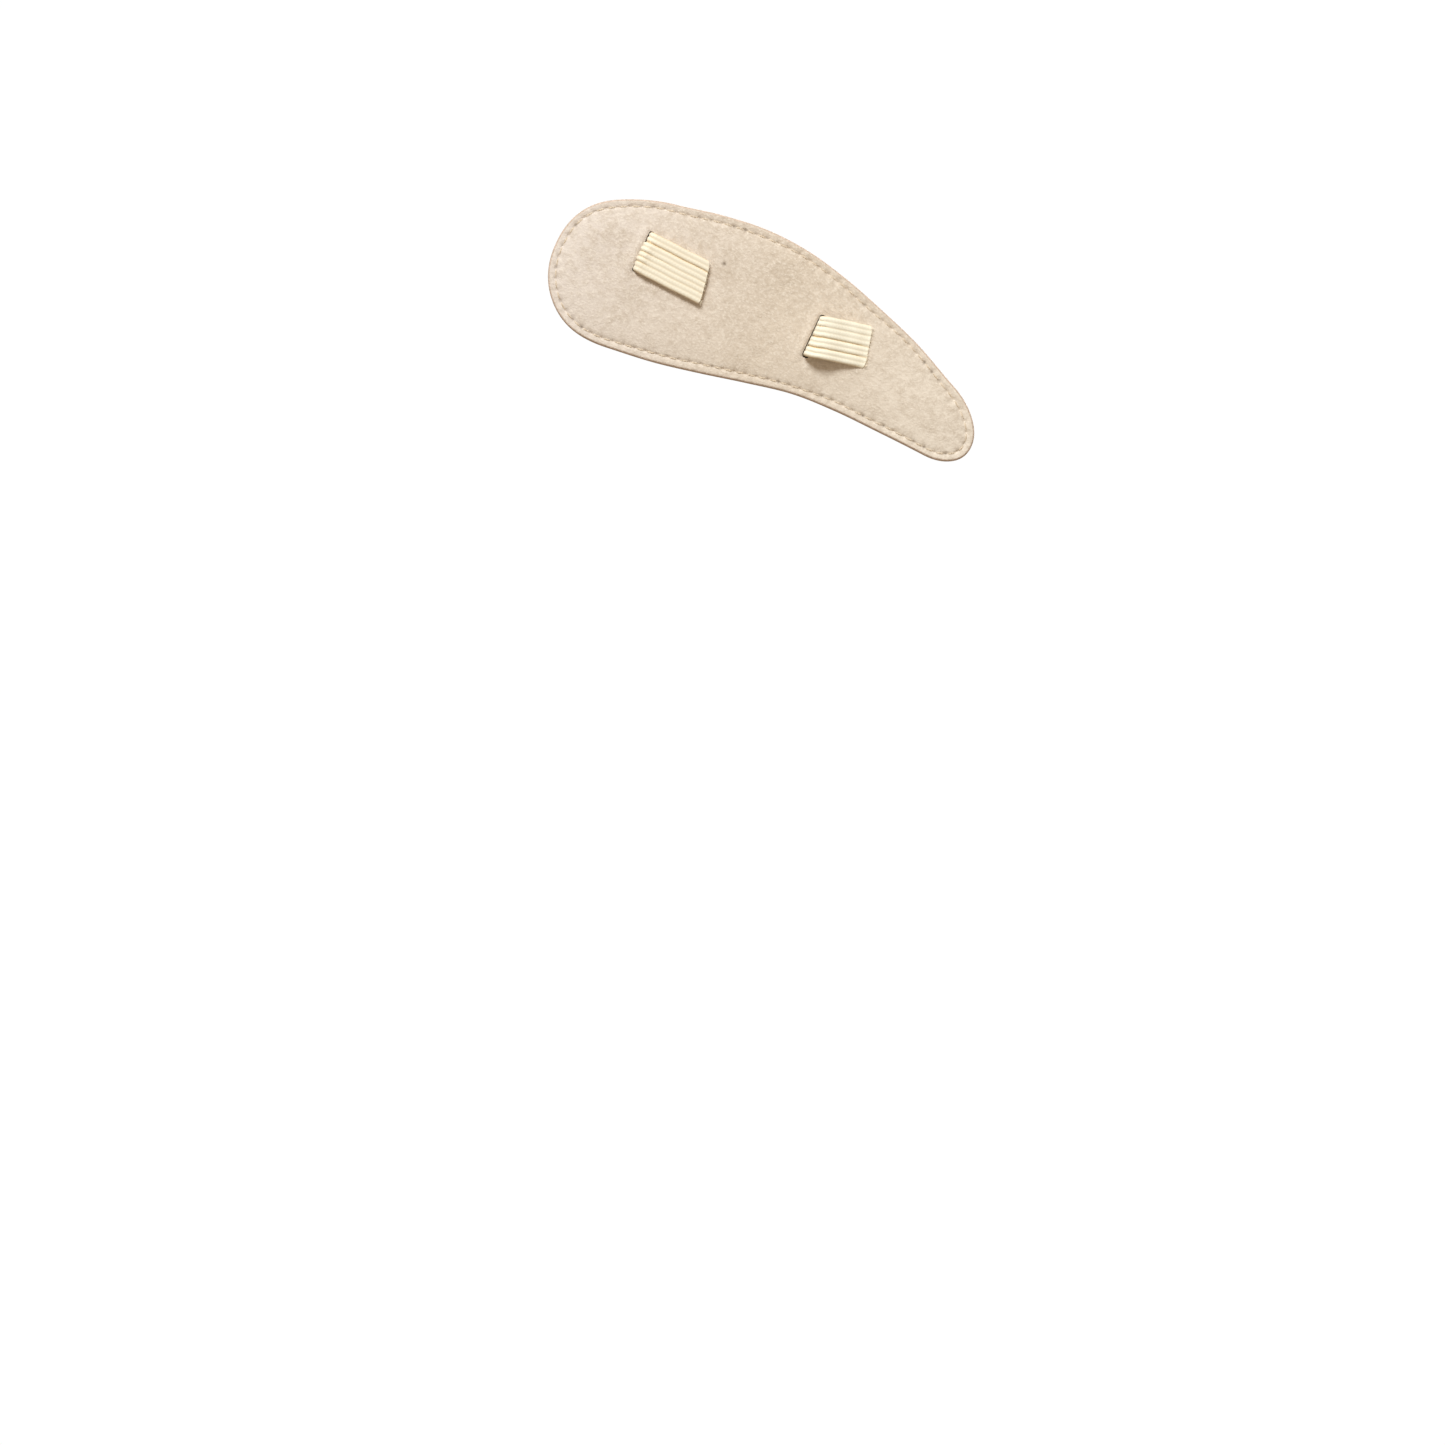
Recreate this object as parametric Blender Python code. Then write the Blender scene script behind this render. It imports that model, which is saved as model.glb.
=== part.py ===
# Hammer toe crest pad: a teardrop cushion for the hollow under the smaller toes, held by
# an elastic loop round two of them.
# +X runs along the pad to its narrow end, +Y from the sole face to the toes, and +Z to
# the toe tips. The origin lies on top of the crest, midway between the loop's two legs.
import math

import bmesh
import bpy
from mathutils import Matrix, Vector

MM = 0.001

# Pad, seen on its sole face
PAD_LENGTH = 85.6 * MM
PAD_WIDTH = 32.3 * MM
BROAD_END_LENGTH = 17.2 * MM  # how far the rounding of the broad end reaches
NARROW_END_LENGTH = 7.4 * MM
END_FULLNESS = 2.2  # 2 is an ellipse, more is squarer

# Heights, measured from the toes' side to the sole
CREST_HEIGHT = 8.2 * MM  # dome alone, above the flange
FLANGE_THICKNESS = 1.3 * MM
FLANGE_WIDTH = 2.6 * MM
SOLE_THICKNESS = 1.4 * MM
SOLE_CROWN = 0.5 * MM  # how far the sole cover swells inside its seam
COVER_GAP = 0.3 * MM  # between the sole cover and the crest
RIM_ROUND = 0.3 * MM

# Elastic band
BAND_WIDTH = 8.0 * MM
BAND_THICKNESS = 1.0 * MM
BAND_RIBS = 6
RIB_DEPTH = 0.22 * MM
LOOP_SPAN = 35.3 * MM  # between the middles of the two legs
LOOP_HEIGHT = 17.0 * MM  # from the crest to the middle of the band, at the top
LEG_RISE = 3.0 * MM  # straight stretch of each leg above the crest
LOOP_FULLNESS = 2.5
SLIT_CLEARANCE = 0.3 * MM
REST_GAP = 0.3 * MM  # between a tail and the sole face it lies on

# Where the pad lies against the loop: the broad tip and the width's lower edge
BROAD_TIP_FROM_ORIGIN = -33.0 * MM
LOWER_EDGE_FROM_ORIGIN = -18.25 * MM

# Resolution of the outline, the dome and the band
END_STEPS = 8
SIDE_STEPS = 16
LOOP_STEPS = 26
FOLD_STEPS = 5
TAIL_STEP = 1.6 * MM

# Sections along the pad: place as a share of PAD_LENGTH from the broad end, middle line
# above the lower edge and half width as shares of PAD_WIDTH, dome as a share of
# CREST_HEIGHT.
SECTIONS = (
    # along, middle, half, dome
    (0.00, 0.417, 0.456, 0.74),
    (0.10, 0.414, 0.448, 0.82),
    (0.20, 0.451, 0.453, 0.90),
    (0.30, 0.497, 0.464, 0.97),
    (0.40, 0.541, 0.453, 1.00),
    (0.50, 0.567, 0.417, 0.99),
    (0.60, 0.568, 0.364, 0.95),
    (0.70, 0.537, 0.318, 0.88),
    (0.80, 0.490, 0.275, 0.79),
    (0.90, 0.426, 0.219, 0.68),
    (1.00, 0.361, 0.168, 0.58),
)

# Rings of the dome: how far out from the ridge, and the height there, both as shares.
DOME_RINGS = (
    # out, height
    (0.97, 0.24),
    (0.90, 0.46),
    (0.78, 0.68),
    (0.62, 0.85),
    (0.42, 0.955),
    (0.18, 1.00),
)
RIDGE_SHIFT = 0.14  # of the half width, towards the toe tips

# Rings of the sole face inside its seam, in the same way but with one height all along.
SOLE_RINGS = (
    # out, height
    (0.90, 0.60),
    (0.75, 0.90),
    (0.50, 1.00),
)

# The band's two tails on the sole face. side is the leg of the loop that a tail comes
# from, rise the middle of its slit along +Z, fold the radius of the bend out of the slit
# and lift how far the bend stands off the sole. turn, in the sole's plane, and skew, of
# the cut end, are in degrees.
TAILS = {
    "broad": {
        "side": -1, "rise": 0.45 * MM, "turn": -2.2, "length": 12.9 * MM,
        "fold": 1.0 * MM, "lift": 0.0, "skew": 13.0,
    },
    "narrow": {
        "side": 1, "rise": -0.40 * MM, "turn": 14.0, "length": 10.3 * MM,
        "fold": 1.5 * MM, "lift": 1.6 * MM, "skew": 0.0,
    },
}

# Heights that follow
FLANGE_TOP = -CREST_HEIGHT
FLANGE_BOTTOM = FLANGE_TOP - FLANGE_THICKNESS
SOLE_TOP = FLANGE_BOTTOM - COVER_GAP
SOLE_FACE = SOLE_TOP - SOLE_THICKNESS
BAND_ON_SOLE = SOLE_FACE - SOLE_CROWN - REST_GAP - BAND_THICKNESS / 2


def clear_scene():
    for obj in list(bpy.data.objects):
        bpy.data.objects.remove(obj, do_unlink=True)


def material(name, color, roughness, metallic=0.0):
    made = bpy.data.materials.new(name)
    made.use_nodes = True
    shader = made.node_tree.nodes["Principled BSDF"]
    shader.inputs["Base Color"].default_value = (*color, 1.0)
    shader.inputs["Roughness"].default_value = roughness
    shader.inputs["Metallic"].default_value = metallic
    return made


def smooth_rows(rows, along):
    """Each column of the table at this place, on a smooth curve through the rows."""
    last = len(rows) - 1
    index = min(max(i for i in range(last) if rows[i][0] <= max(along, 0.0)), last - 1)
    before, start = rows[max(index - 1, 0)], rows[index]
    end, after = rows[index + 1], rows[min(index + 2, last)]
    step = end[0] - start[0]
    u = (along - start[0]) / step
    found = []
    for column in range(1, len(start)):
        leave = (end[column] - before[column]) / (end[0] - before[0]) * step
        arrive = (after[column] - start[column]) / (after[0] - start[0]) * step
        a, b = start[column], end[column]
        found.append(
            a * (2 * u**3 - 3 * u**2 + 1) + leave * (u**3 - 2 * u**2 + u)
            + b * (3 * u**2 - 2 * u**3) + arrive * (u**3 - u**2)
        )
    return found


def end_rounding(distance, reach):
    """Share of the half width at this distance from a tip whose rounding has this reach."""
    if distance >= reach:
        return 1.0
    inside = 1 - (1 - distance / reach) ** END_FULLNESS
    return max(inside, 0.0) ** (1 / END_FULLNESS)


def stations():
    """Distances from the broad tip: close together in the rounded ends, even between."""
    found = []
    for i in range(END_STEPS):
        found.append(BROAD_END_LENGTH * (1 - math.cos(math.pi / 2 * i / END_STEPS)))
    straight = PAD_LENGTH - BROAD_END_LENGTH - NARROW_END_LENGTH
    for i in range(SIDE_STEPS):
        found.append(BROAD_END_LENGTH + straight * i / SIDE_STEPS)
    for i in range(END_STEPS + 1):
        found.append(PAD_LENGTH - NARROW_END_LENGTH * (1 - math.sin(math.pi / 2 * i / END_STEPS)))
    return found


def side_points(distance):
    """Edge points towards the toe tips and the heel, the ridge point and the dome's share."""
    middle, half, dome = smooth_rows(SECTIONS, distance / PAD_LENGTH)
    half *= PAD_WIDTH
    x = BROAD_TIP_FROM_ORIGIN + distance
    z = LOWER_EDGE_FROM_ORIGIN + middle * PAD_WIDTH
    wide = half * end_rounding(distance, BROAD_END_LENGTH)
    wide *= end_rounding(PAD_LENGTH - distance, NARROW_END_LENGTH)
    return Vector((x, 0, z + wide)), Vector((x, 0, z - wide)), dome


def ridge_point(distance):
    """The ridge ends where the rounding of each end begins."""
    near = min(max(distance, BROAD_END_LENGTH), PAD_LENGTH - NARROW_END_LENGTH)
    middle, half, _ = smooth_rows(SECTIONS, near / PAD_LENGTH)
    x = BROAD_TIP_FROM_ORIGIN + near
    z = LOWER_EDGE_FROM_ORIGIN + (middle + half * RIDGE_SHIFT) * PAD_WIDTH
    return Vector((x, 0, z))


def outline():
    """The closed edge as (point, ridge point, dome share), round by the toe tips first."""
    front, back = [], []
    for distance in stations():
        upper, lower, dome = side_points(distance)
        ridge = ridge_point(distance)
        front.append((upper, ridge, dome))
        back.append((lower, ridge, dome))
    return front + back[-2:0:-1]


def inset_points(points, inset):
    """The edge moved inwards, square to itself."""
    moved = []
    count = len(points)
    for i, point in enumerate(points):
        along = points[(i + 1) % count] - points[i - 1]
        inward = Vector((along.z, 0, -along.x)).normalized()
        moved.append(point + inward * inset)
    return moved


def at_height(points, height):
    return [Vector((p.x, height, p.z)) for p in points]


def finish_mesh(mesh, name, look, smooth_angle=40):
    bmesh.ops.recalc_face_normals(mesh, faces=mesh.faces)
    data = bpy.data.meshes.new(name)
    mesh.to_mesh(data)
    mesh.free()
    data.shade_smooth()
    data.set_sharp_from_angle(angle=math.radians(smooth_angle))
    data.materials.append(look)
    obj = bpy.data.objects.new(name, data)
    bpy.context.scene.collection.objects.link(obj)
    return obj


def stack(name, look, rings):
    """A closed body that grows from its first ring by extruding the end face to each next."""
    mesh = bmesh.new()
    end = mesh.faces.new([mesh.verts.new(point) for point in rings[0]])
    for level, ring in enumerate(rings[1:]):
        made = bmesh.ops.extrude_face_region(mesh, geom=[end])["geom"]
        if level:  # the first face closes the foot, a later one would be left inside
            bmesh.ops.delete(mesh, geom=[end], context="FACES_ONLY")
        end = next(item for item in made if isinstance(item, bmesh.types.BMFace))
        for vert, point in zip(end.verts, ring):
            vert.co = point
    bmesh.ops.triangulate(mesh, faces=[f for f in mesh.faces if len(f.verts) > 4])
    return finish_mesh(mesh, name, look)


def plate_rings(edge, foot, face):
    """Four rings of a cover's rim, from one face to the other, with its corners rounded."""
    rim = inset_points(edge, RIM_ROUND)
    into = math.copysign(RIM_ROUND, face - foot)
    return [
        at_height(rim, foot),
        at_height(edge, foot + into),
        at_height(edge, face - into),
        at_height(rim, face),
    ]


def domed_rings(base, whole, rows, foot, rise, dome_share):
    """Rings that close in on the ridge and rise, by a table of (out, height) shares."""
    rings = []
    for out, height in rows:
        ring = []
        for point, (_, ridge, dome) in zip(base, whole):
            level = foot + rise * height * (dome if dome_share else 1)
            ring.extend(at_height([ridge.lerp(point, out)], level))
        rings.append(ring)
    return rings


def sole_cover(look):
    whole = outline()
    edge = [point for point, _, _ in whole]
    seam = inset_points(edge, FLANGE_WIDTH)
    rings = plate_rings(edge, SOLE_TOP, SOLE_FACE) + [at_height(seam, SOLE_FACE)]
    rings += domed_rings(seam, whole, SOLE_RINGS, SOLE_FACE, -SOLE_CROWN, False)
    return stack("sole_cover", look, rings)


def crest_pad(look):
    whole = outline()
    edge = [point for point, _, _ in whole]
    seam = inset_points(edge, FLANGE_WIDTH)
    rings = plate_rings(edge, FLANGE_BOTTOM, FLANGE_TOP) + [at_height(seam, FLANGE_TOP)]
    rings += domed_rings(seam, whole, DOME_RINGS, FLANGE_TOP, CREST_HEIGHT, True)
    return stack("crest_pad", look, rings)


def slot_cutter(tail):
    """A box through both covers where one leg of the loop passes."""
    mesh = bmesh.new()
    bmesh.ops.create_cube(mesh, size=1)
    depth = 2 * (CREST_HEIGHT - SOLE_FACE)
    size = (BAND_THICKNESS + 2 * SLIT_CLEARANCE, depth, BAND_WIDTH + 2 * SLIT_CLEARANCE)
    middle = (tail["side"] * LOOP_SPAN / 2, SOLE_FACE / 2, tail["rise"])
    place = Matrix.LocRotScale(Vector(middle), None, Vector(size))
    bmesh.ops.transform(mesh, verts=mesh.verts, matrix=place)
    data = bpy.data.meshes.new("slot_cutter")
    mesh.to_mesh(data)
    mesh.free()
    cutter = bpy.data.objects.new("slot_cutter", data)
    bpy.context.scene.collection.objects.link(cutter)
    cutter.hide_render = True
    cutter.display_type = "WIRE"
    return cutter


def cut_slots(obj, cutters):
    for cutter in cutters:
        cut = obj.modifiers.new("Slot", "BOOLEAN")
        cut.object = cutter


def rib_profile():
    """Corners of the band's section as (across, thickness), once round."""
    steps = 2 * BAND_RIBS
    face = []
    for i in range(steps + 1):
        height = BAND_THICKNESS / 2 - (0 if i % 2 else RIB_DEPTH)
        face.append((BAND_WIDTH * (i / steps - 0.5), height))
    return face + [(across, -height) for across, height in reversed(face)]


def tail_route(tail):
    """Sections from the free end to the leg: (middle, across, outward) in the band's frame."""
    side = tail["side"] * LOOP_SPAN / 2
    fold, lift, length = tail["fold"], tail["lift"], tail["length"]
    run = length - fold
    steps = max(round(run / TAIL_STEP), 3)
    flat = []
    for i in range(steps + 1):
        share = i / steps
        down = lift * (3 * share**2 - 2 * share**3)
        slope = lift * 6 * share * (1 - share) / run
        flat.append((length - run * share, BAND_ON_SOLE - down, math.atan(slope), 1.0))
    for i in range(1, FOLD_STEPS + 1):
        angle = math.pi / 2 * i / FOLD_STEPS
        flat.append((
            fold * (1 - math.sin(angle)),
            BAND_ON_SOLE - lift + fold * (1 - math.cos(angle)),
            -angle,
            1 - i / FOLD_STEPS,
        ))
    route = []
    for out, height, tilt, twist in flat:
        turn = Matrix.Rotation(-math.radians(tail["turn"]) * twist, 3, "Y")
        middle = turn @ Vector((out, 0, 0)) + Vector((side, height, tail["rise"]))
        outward = turn @ Vector((math.sin(tilt), -math.cos(tilt), 0))
        route.append((middle, turn @ Vector((0, 0, 1)), outward))
    return route


def arch_route():
    """The loop's legs and arch, from the broad side's leg to the narrow side's."""
    half = LOOP_SPAN / 2
    bow = LOOP_HEIGHT - LEG_RISE
    broad, narrow = TAILS["broad"]["rise"], TAILS["narrow"]["rise"]
    middles = [Vector((-half, 0, broad))]
    for i in range(LOOP_STEPS + 1):
        angle = math.pi * i / LOOP_STEPS
        round_share = 2 / LOOP_FULLNESS
        x = -half * math.copysign(abs(math.cos(angle)) ** round_share, math.cos(angle))
        y = LEG_RISE + bow * max(math.sin(angle), 0.0) ** round_share
        middles.append(Vector((x, y, broad + (narrow - broad) * i / LOOP_STEPS)))
    middles.append(Vector((half, 0, narrow)))
    route = []
    for i, middle in enumerate(middles):
        ahead = middles[min(i + 1, len(middles) - 1)] - middles[max(i - 1, 0)]
        ahead.z = 0
        ahead.normalize()
        route.append((middle, Vector((0, 0, 1)), Vector((-ahead.y, ahead.x, 0))))
    return route


def toe_loop(look):
    """The whole band as one body, skinned over its sections from end to end."""
    narrow = reversed(tail_route(TAILS["narrow"]))
    route = tail_route(TAILS["broad"]) + arch_route()
    route += [(middle, across, -outward) for middle, across, outward in narrow]
    profile = rib_profile()
    rings = []
    for middle, across, outward in route:
        rings.append([middle + across * a + outward * t for a, t in profile])
    for ring, tail in ((rings[0], TAILS["broad"]), (rings[-1], TAILS["narrow"])):
        turn = Matrix.Rotation(-math.radians(tail["turn"]), 3, "Y")
        for point, (across, _) in zip(ring, profile):
            point += turn @ Vector((-across * math.tan(math.radians(tail["skew"])), 0, 0))
    return stack("toe_loop", look, rings)


def build():
    clear_scene()
    suede = material("suede_sole", (0.72, 0.60, 0.47), 0.9)
    crest_suede = material("suede_crest", (0.74, 0.63, 0.50), 0.9)
    elastic = material("elastic", (0.93, 0.85, 0.68), 0.75)

    frame = bpy.data.objects.new("crest_pad_frame", None)
    bpy.context.scene.collection.objects.link(frame)

    sole = sole_cover(suede)
    crest = crest_pad(crest_suede)
    loop = toe_loop(elastic)
    cutters = [slot_cutter(tail) for tail in TAILS.values()]
    cut_slots(sole, cutters)
    cut_slots(crest, cutters)
    for obj in (sole, crest, loop, *cutters):
        obj.parent = frame


build()
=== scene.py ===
import math
import random
from functools import partial

import bmesh
import bpy
from mathutils import Matrix, Vector, noise
from mathutils.bvhtree import BVHTree


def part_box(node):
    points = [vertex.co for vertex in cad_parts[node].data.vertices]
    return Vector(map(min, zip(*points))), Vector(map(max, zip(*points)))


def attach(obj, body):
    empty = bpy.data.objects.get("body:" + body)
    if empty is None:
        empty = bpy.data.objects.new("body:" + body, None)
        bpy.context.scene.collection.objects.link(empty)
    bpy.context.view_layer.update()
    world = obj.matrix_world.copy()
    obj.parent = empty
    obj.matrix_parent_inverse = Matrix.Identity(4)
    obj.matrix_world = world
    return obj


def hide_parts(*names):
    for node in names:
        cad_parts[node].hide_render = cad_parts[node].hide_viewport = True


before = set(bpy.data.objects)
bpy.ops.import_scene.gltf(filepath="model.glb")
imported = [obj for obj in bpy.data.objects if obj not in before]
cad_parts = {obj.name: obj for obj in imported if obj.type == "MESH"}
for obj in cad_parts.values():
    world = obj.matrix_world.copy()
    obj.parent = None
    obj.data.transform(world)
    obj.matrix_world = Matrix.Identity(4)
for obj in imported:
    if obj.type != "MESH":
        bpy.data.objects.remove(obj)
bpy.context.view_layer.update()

scene = bpy.context.scene
mm = 0.001

# where the photo's frame lies on the sole face
photo = {
    "side": 1445,
    "scale": 0.185 * mm,  # metres a pixel
    "originX": 728.7,  # pixel of the part's origin
    "originY": 294.4,
    "roll": math.radians(25),  # the pad's length below the horizontal
    "distance": 1.3,
}

# pad outline, from the broad end to the narrow one
soleLow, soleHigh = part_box("sole_cover")
crestLow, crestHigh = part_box("crest_pad")
pad = {
    "tipX": soleLow.x,
    "length": soleHigh.x - soleLow.x,
    "lowerZ": -18.25 * mm,
    "width": 32.3 * mm,
    "broadEnd": 17.2 * mm,
    "narrowEnd": 7.4 * mm,
    "endFullness": 2.2,
    "ridgeShift": 0.14,
    "flange": 2.6 * mm,
    "flangeThickness": 1.3 * mm,
    "sections": [  # along, middle, half width, dome height, as shares
        (0.00, 0.417, 0.456, 0.74),
        (0.10, 0.414, 0.448, 0.82),
        (0.20, 0.451, 0.453, 0.90),
        (0.30, 0.497, 0.464, 0.97),
        (0.40, 0.541, 0.453, 1.00),
        (0.50, 0.567, 0.417, 0.99),
        (0.60, 0.568, 0.364, 0.95),
        (0.70, 0.537, 0.318, 0.88),
        (0.80, 0.490, 0.275, 0.79),
        (0.90, 0.426, 0.219, 0.68),
        (1.00, 0.361, 0.168, 0.58),
    ],
}

# the seam that joins the two covers
seam = {
    "inset": 1.4 * mm,
    "wander": 0.3 * mm,  # how far the hand-guided line strays
    "stitches": 88,
    "steps": 8,  # mesh columns in a stitch
    "depth": 0.1 * mm,
    "spread": 0.34 * mm,
    "holeDepth": 0.2 * mm,
    "holeSpread": 0.24 * mm,
    "prickSpread": 0.3 * mm,
    "pucker": 0.05 * mm,
    "puckerReach": 1.3 * mm,
    "threadRadius": 0.13 * mm,
    "threadSunk": 0.11 * mm,
    "seed": 11,
}

# the elastic, as in the CAD
band = {
    "width": 8.0 * mm,
    "thickness": 1.0 * mm,
    "ribs": 8,
    "ribDepth": 0.28 * mm,
    "grooves": {  # how deep each one is, on the outer and inner faces of the loop
        1: (1.0, 0.35, 0.6, 0.5, 0.6, 0.35, 1.1, 0.4, 1.0),
        -1: (1.0, 0.4, 1.1, 0.35, 1.15, 0.35, 0.6, 0.35, 1.0),
    },
    "foldBulge": (0.0, 0.12, 0.34, 0.30, 0.38, 0.26, -0.05, -0.10),  # mm, for each rib
    "cornerRound": 0.45 * mm,
    "span": 35.3 * mm,
    "height": 17.0 * mm,
    "legRise": 3.0 * mm,
    "fullness": 2.5,
    "rest": 0.12 * mm,  # gap under a tail
    "knit": 0.62 * mm,
    "knitDepth": 0.035 * mm,
    "sectionsPerKnit": 5,
    "pointsPerRib": 6,
    "broad": {
        "side": -1, "rise": 0.45 * mm, "turn": -2.2, "length": 12.9 * mm,
        "fold": 1.0 * mm, "lift": 0.0, "skew": 13.0, "gap": 0.03 * mm, "slitExtra": 0.2 * mm,
        # strength of the painted shade along this tail's slit
        "slitShadeStrength": 0.42,
    },
    "narrow": {
        "side": 1, "rise": -0.40 * mm, "turn": 14.0, "length": 10.3 * mm,
        "fold": 1.5 * mm, "lift": 1.6 * mm, "skew": 0.0, "gap": 0.2 * mm, "slitExtra": 0.6 * mm,
        # strength of the painted shade along this tail's slit
        "slitShadeStrength": 0.7,
    },
}


# outline

def smoothRows(rows, along):
    last = len(rows) - 1
    along = min(max(along, 0.0), 1.0)
    index = min(max(i for i in range(last) if rows[i][0] <= along), last - 1)
    before, start = rows[max(index - 1, 0)], rows[index]
    end, after = rows[index + 1], rows[min(index + 2, last)]
    step = end[0] - start[0]
    u = (along - start[0]) / step
    found = []
    for column in range(1, len(start)):
        leave = (end[column] - before[column]) / (end[0] - before[0]) * step
        arrive = (after[column] - start[column]) / (after[0] - start[0]) * step
        found.append(
            start[column] * (2 * u**3 - 3 * u**2 + 1) + leave * (u**3 - 2 * u**2 + u)
            + end[column] * (3 * u**2 - 2 * u**3) + arrive * (u**3 - u**2)
        )
    return found


def endRounding(distance, reach):
    if distance >= reach:
        return 1.0
    inside = 1 - (1 - max(distance, 0.0) / reach) ** pad["endFullness"]
    return max(inside, 0.0) ** (1 / pad["endFullness"])


def middleAt(distance):
    middle, half, dome = smoothRows(pad["sections"], distance / pad["length"])
    return pad["lowerZ"] + middle * pad["width"], half * pad["width"], dome


def edgeAt(distance, side):
    middle, half, dome = middleAt(distance)
    half *= endRounding(distance, pad["broadEnd"])
    half *= endRounding(pad["length"] - distance, pad["narrowEnd"])
    return Vector((pad["tipX"] + distance, 0, middle + side * half))


def ridgeAt(distance, broadPole):
    near = min(max(distance, broadPole), pad["length"] - pad["narrowEnd"])
    middle, half, dome = middleAt(near)
    return Vector((pad["tipX"] + near, 0, middle + half * pad["ridgeShift"])), dome, half


# columns: what the pad's mesh follows, evenly spaced along the seam, front side then back

def sideColumns(walk, count):
    sewn = [row[0] + row[1] * seam["inset"] for row in walk]
    reach = [0.0]
    for i in range(1, len(sewn)):
        reach.append(reach[-1] + (sewn[i] - sewn[i - 1]).length)
    columns = []
    k = 0
    for i in range(count + 1):
        target = reach[-1] * i / count
        while k < len(sewn) - 2 and reach[k + 1] < target:
            k += 1
        u = (target - reach[k]) / (reach[k + 1] - reach[k])
        columns.append({
            "edge": walk[k][0].lerp(walk[k + 1][0], u),
            "inward": walk[k][1].lerp(walk[k + 1][1], u).normalized(),
            "distance": walk[k][2] * (1 - u) + walk[k + 1][2] * u,
        })
    return columns


def padColumns(count, broadPole):
    steps = 260
    distances = [pad["length"] * (1 - math.cos(math.pi * i / steps)) / 2 for i in range(steps + 1)]
    walk = [(d, 1) for d in distances] + [(d, -1) for d in distances[-2:0:-1]]
    edge = [edgeAt(d, side) for d, side in walk]
    rows = []
    for i, (distance, side) in enumerate(walk):
        along = edge[(i + 1) % len(edge)] - edge[i - 1]
        rows.append((edge[i], Vector((along.z, 0, -along.x)).normalized(), distance))
    front = sideColumns(rows[:steps + 1], count // 2)
    back = sideColumns([rows[0]] + rows[:steps - 1:-1], count // 2)
    for one, other in zip(front, back):  # both sides end on the same point of the ridge
        ridge, dome, half = ridgeAt((one["distance"] + other["distance"]) / 2, broadPole)
        for column in (one, other):
            column.update(ridge=ridge, dome=dome, half=half)
    columns = front + back[-2:0:-1]
    random.seed(seam["seed"])
    # painted shade in each needle hole, random in strength from stitch to stitch
    pricks = [random.random() ** 3.5 for _ in range(seam["stitches"] + 1)]
    for i, column in enumerate(columns):
        stitch, step = divmod(i, seam["steps"])
        near = stitch if step < seam["steps"] / 2 else stitch + 1
        column["phase"] = step / seam["steps"]
        column["paintedShade"] = pricks[near % seam["stitches"]]
        turn = 2 * math.pi * i / len(columns)
        stray = noise.noise(Vector((3 * math.cos(turn), 3 * math.sin(turn), 0.4)))
        column["sewn"] = seam["inset"] + seam["wander"] * stray
    return columns


# mesh helpers

def growRing(bm, ring, places, slot=0):
    edges = [bm.edges.get((ring[i - 1], ring[i])) for i in range(len(ring))]
    made = bmesh.ops.extrude_edge_only(bm, edges=edges)["geom"]
    fresh = {item for item in made if isinstance(item, bmesh.types.BMVert)}
    grown = []
    for vert, place in zip(ring, places):
        others = (e.other_vert(vert) for e in vert.link_edges)
        grown.append(next(v for v in others if v in fresh))
        grown[-1].co = place
    for face in made:
        if isinstance(face, bmesh.types.BMFace):
            face.material_index = slot
    return grown


def startRing(bm, places, closed=False):
    made = bmesh.ops.create_circle(bm, cap_ends=closed, segments=len(places), radius=1)
    ring = made["verts"]
    for vert, place in zip(ring, places):
        vert.co = place
    return ring


def toObject(bm, name, materials, mergeDistance=0.002 * mm, sharpAngle=50):
    bmesh.ops.remove_doubles(bm, verts=bm.verts, dist=mergeDistance)
    bmesh.ops.recalc_face_normals(bm, faces=bm.faces)
    mesh = bpy.data.meshes.new(name)
    bm.to_mesh(mesh)
    bm.free()
    mesh.shade_smooth()
    mesh.set_sharp_from_angle(angle=math.radians(sharpAngle))
    for material in materials:
        mesh.materials.append(material)
    obj = bpy.data.objects.new(name, mesh)
    scene.collection.objects.link(obj)
    return obj


def applyModifiers(obj):
    bpy.context.view_layer.update()
    graph = bpy.context.evaluated_depsgraph_get()
    mesh = bpy.data.meshes.new_from_object(obj.evaluated_get(graph))
    obj.modifiers.clear()
    obj.data = mesh
    return obj


def slotCutter(tail, clearLeft, clearRight, extra):
    bm = bmesh.new()
    bmesh.ops.create_cube(bm, size=1)
    half = band["thickness"] / 2
    legX = tail["side"] * band["span"] / 2
    left, right = legX - half - clearLeft, legX + half + clearRight
    size = Vector((right - left, 60 * mm, band["width"] + extra))
    place = Matrix.LocRotScale(Vector(((left + right) / 2, 0, tail["rise"])), None, size)
    bmesh.ops.transform(bm, verts=bm.verts, matrix=place)
    upright = [e for e in bm.edges if abs(e.verts[0].co.y - e.verts[1].co.y) > 1 * mm]
    bmesh.ops.bevel(bm, geom=upright, affect="EDGES", offset=0.45 * mm, segments=4, profile=0.5,
                    material=-1)
    obj = toObject(bm, "slotCutter", [])
    obj.hide_render = True
    return obj


def cutSlots(obj, gaps, clearRight, extras):
    cutters = [
        slotCutter(band[key], gap, clearRight, extra)
        for key, gap, extra in zip(("broad", "narrow"), gaps, extras)
    ]
    for cutter in cutters:
        cut = obj.modifiers.new("slot", "BOOLEAN")
        cut.object = cutter
        cut.solver = "EXACT"
    applyModifiers(obj)
    obj.data.shade_smooth()
    obj.data.set_sharp_from_angle(angle=math.radians(50))
    for cutter in cutters:
        bpy.data.objects.remove(cutter, do_unlink=True)


# shader helpers

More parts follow.
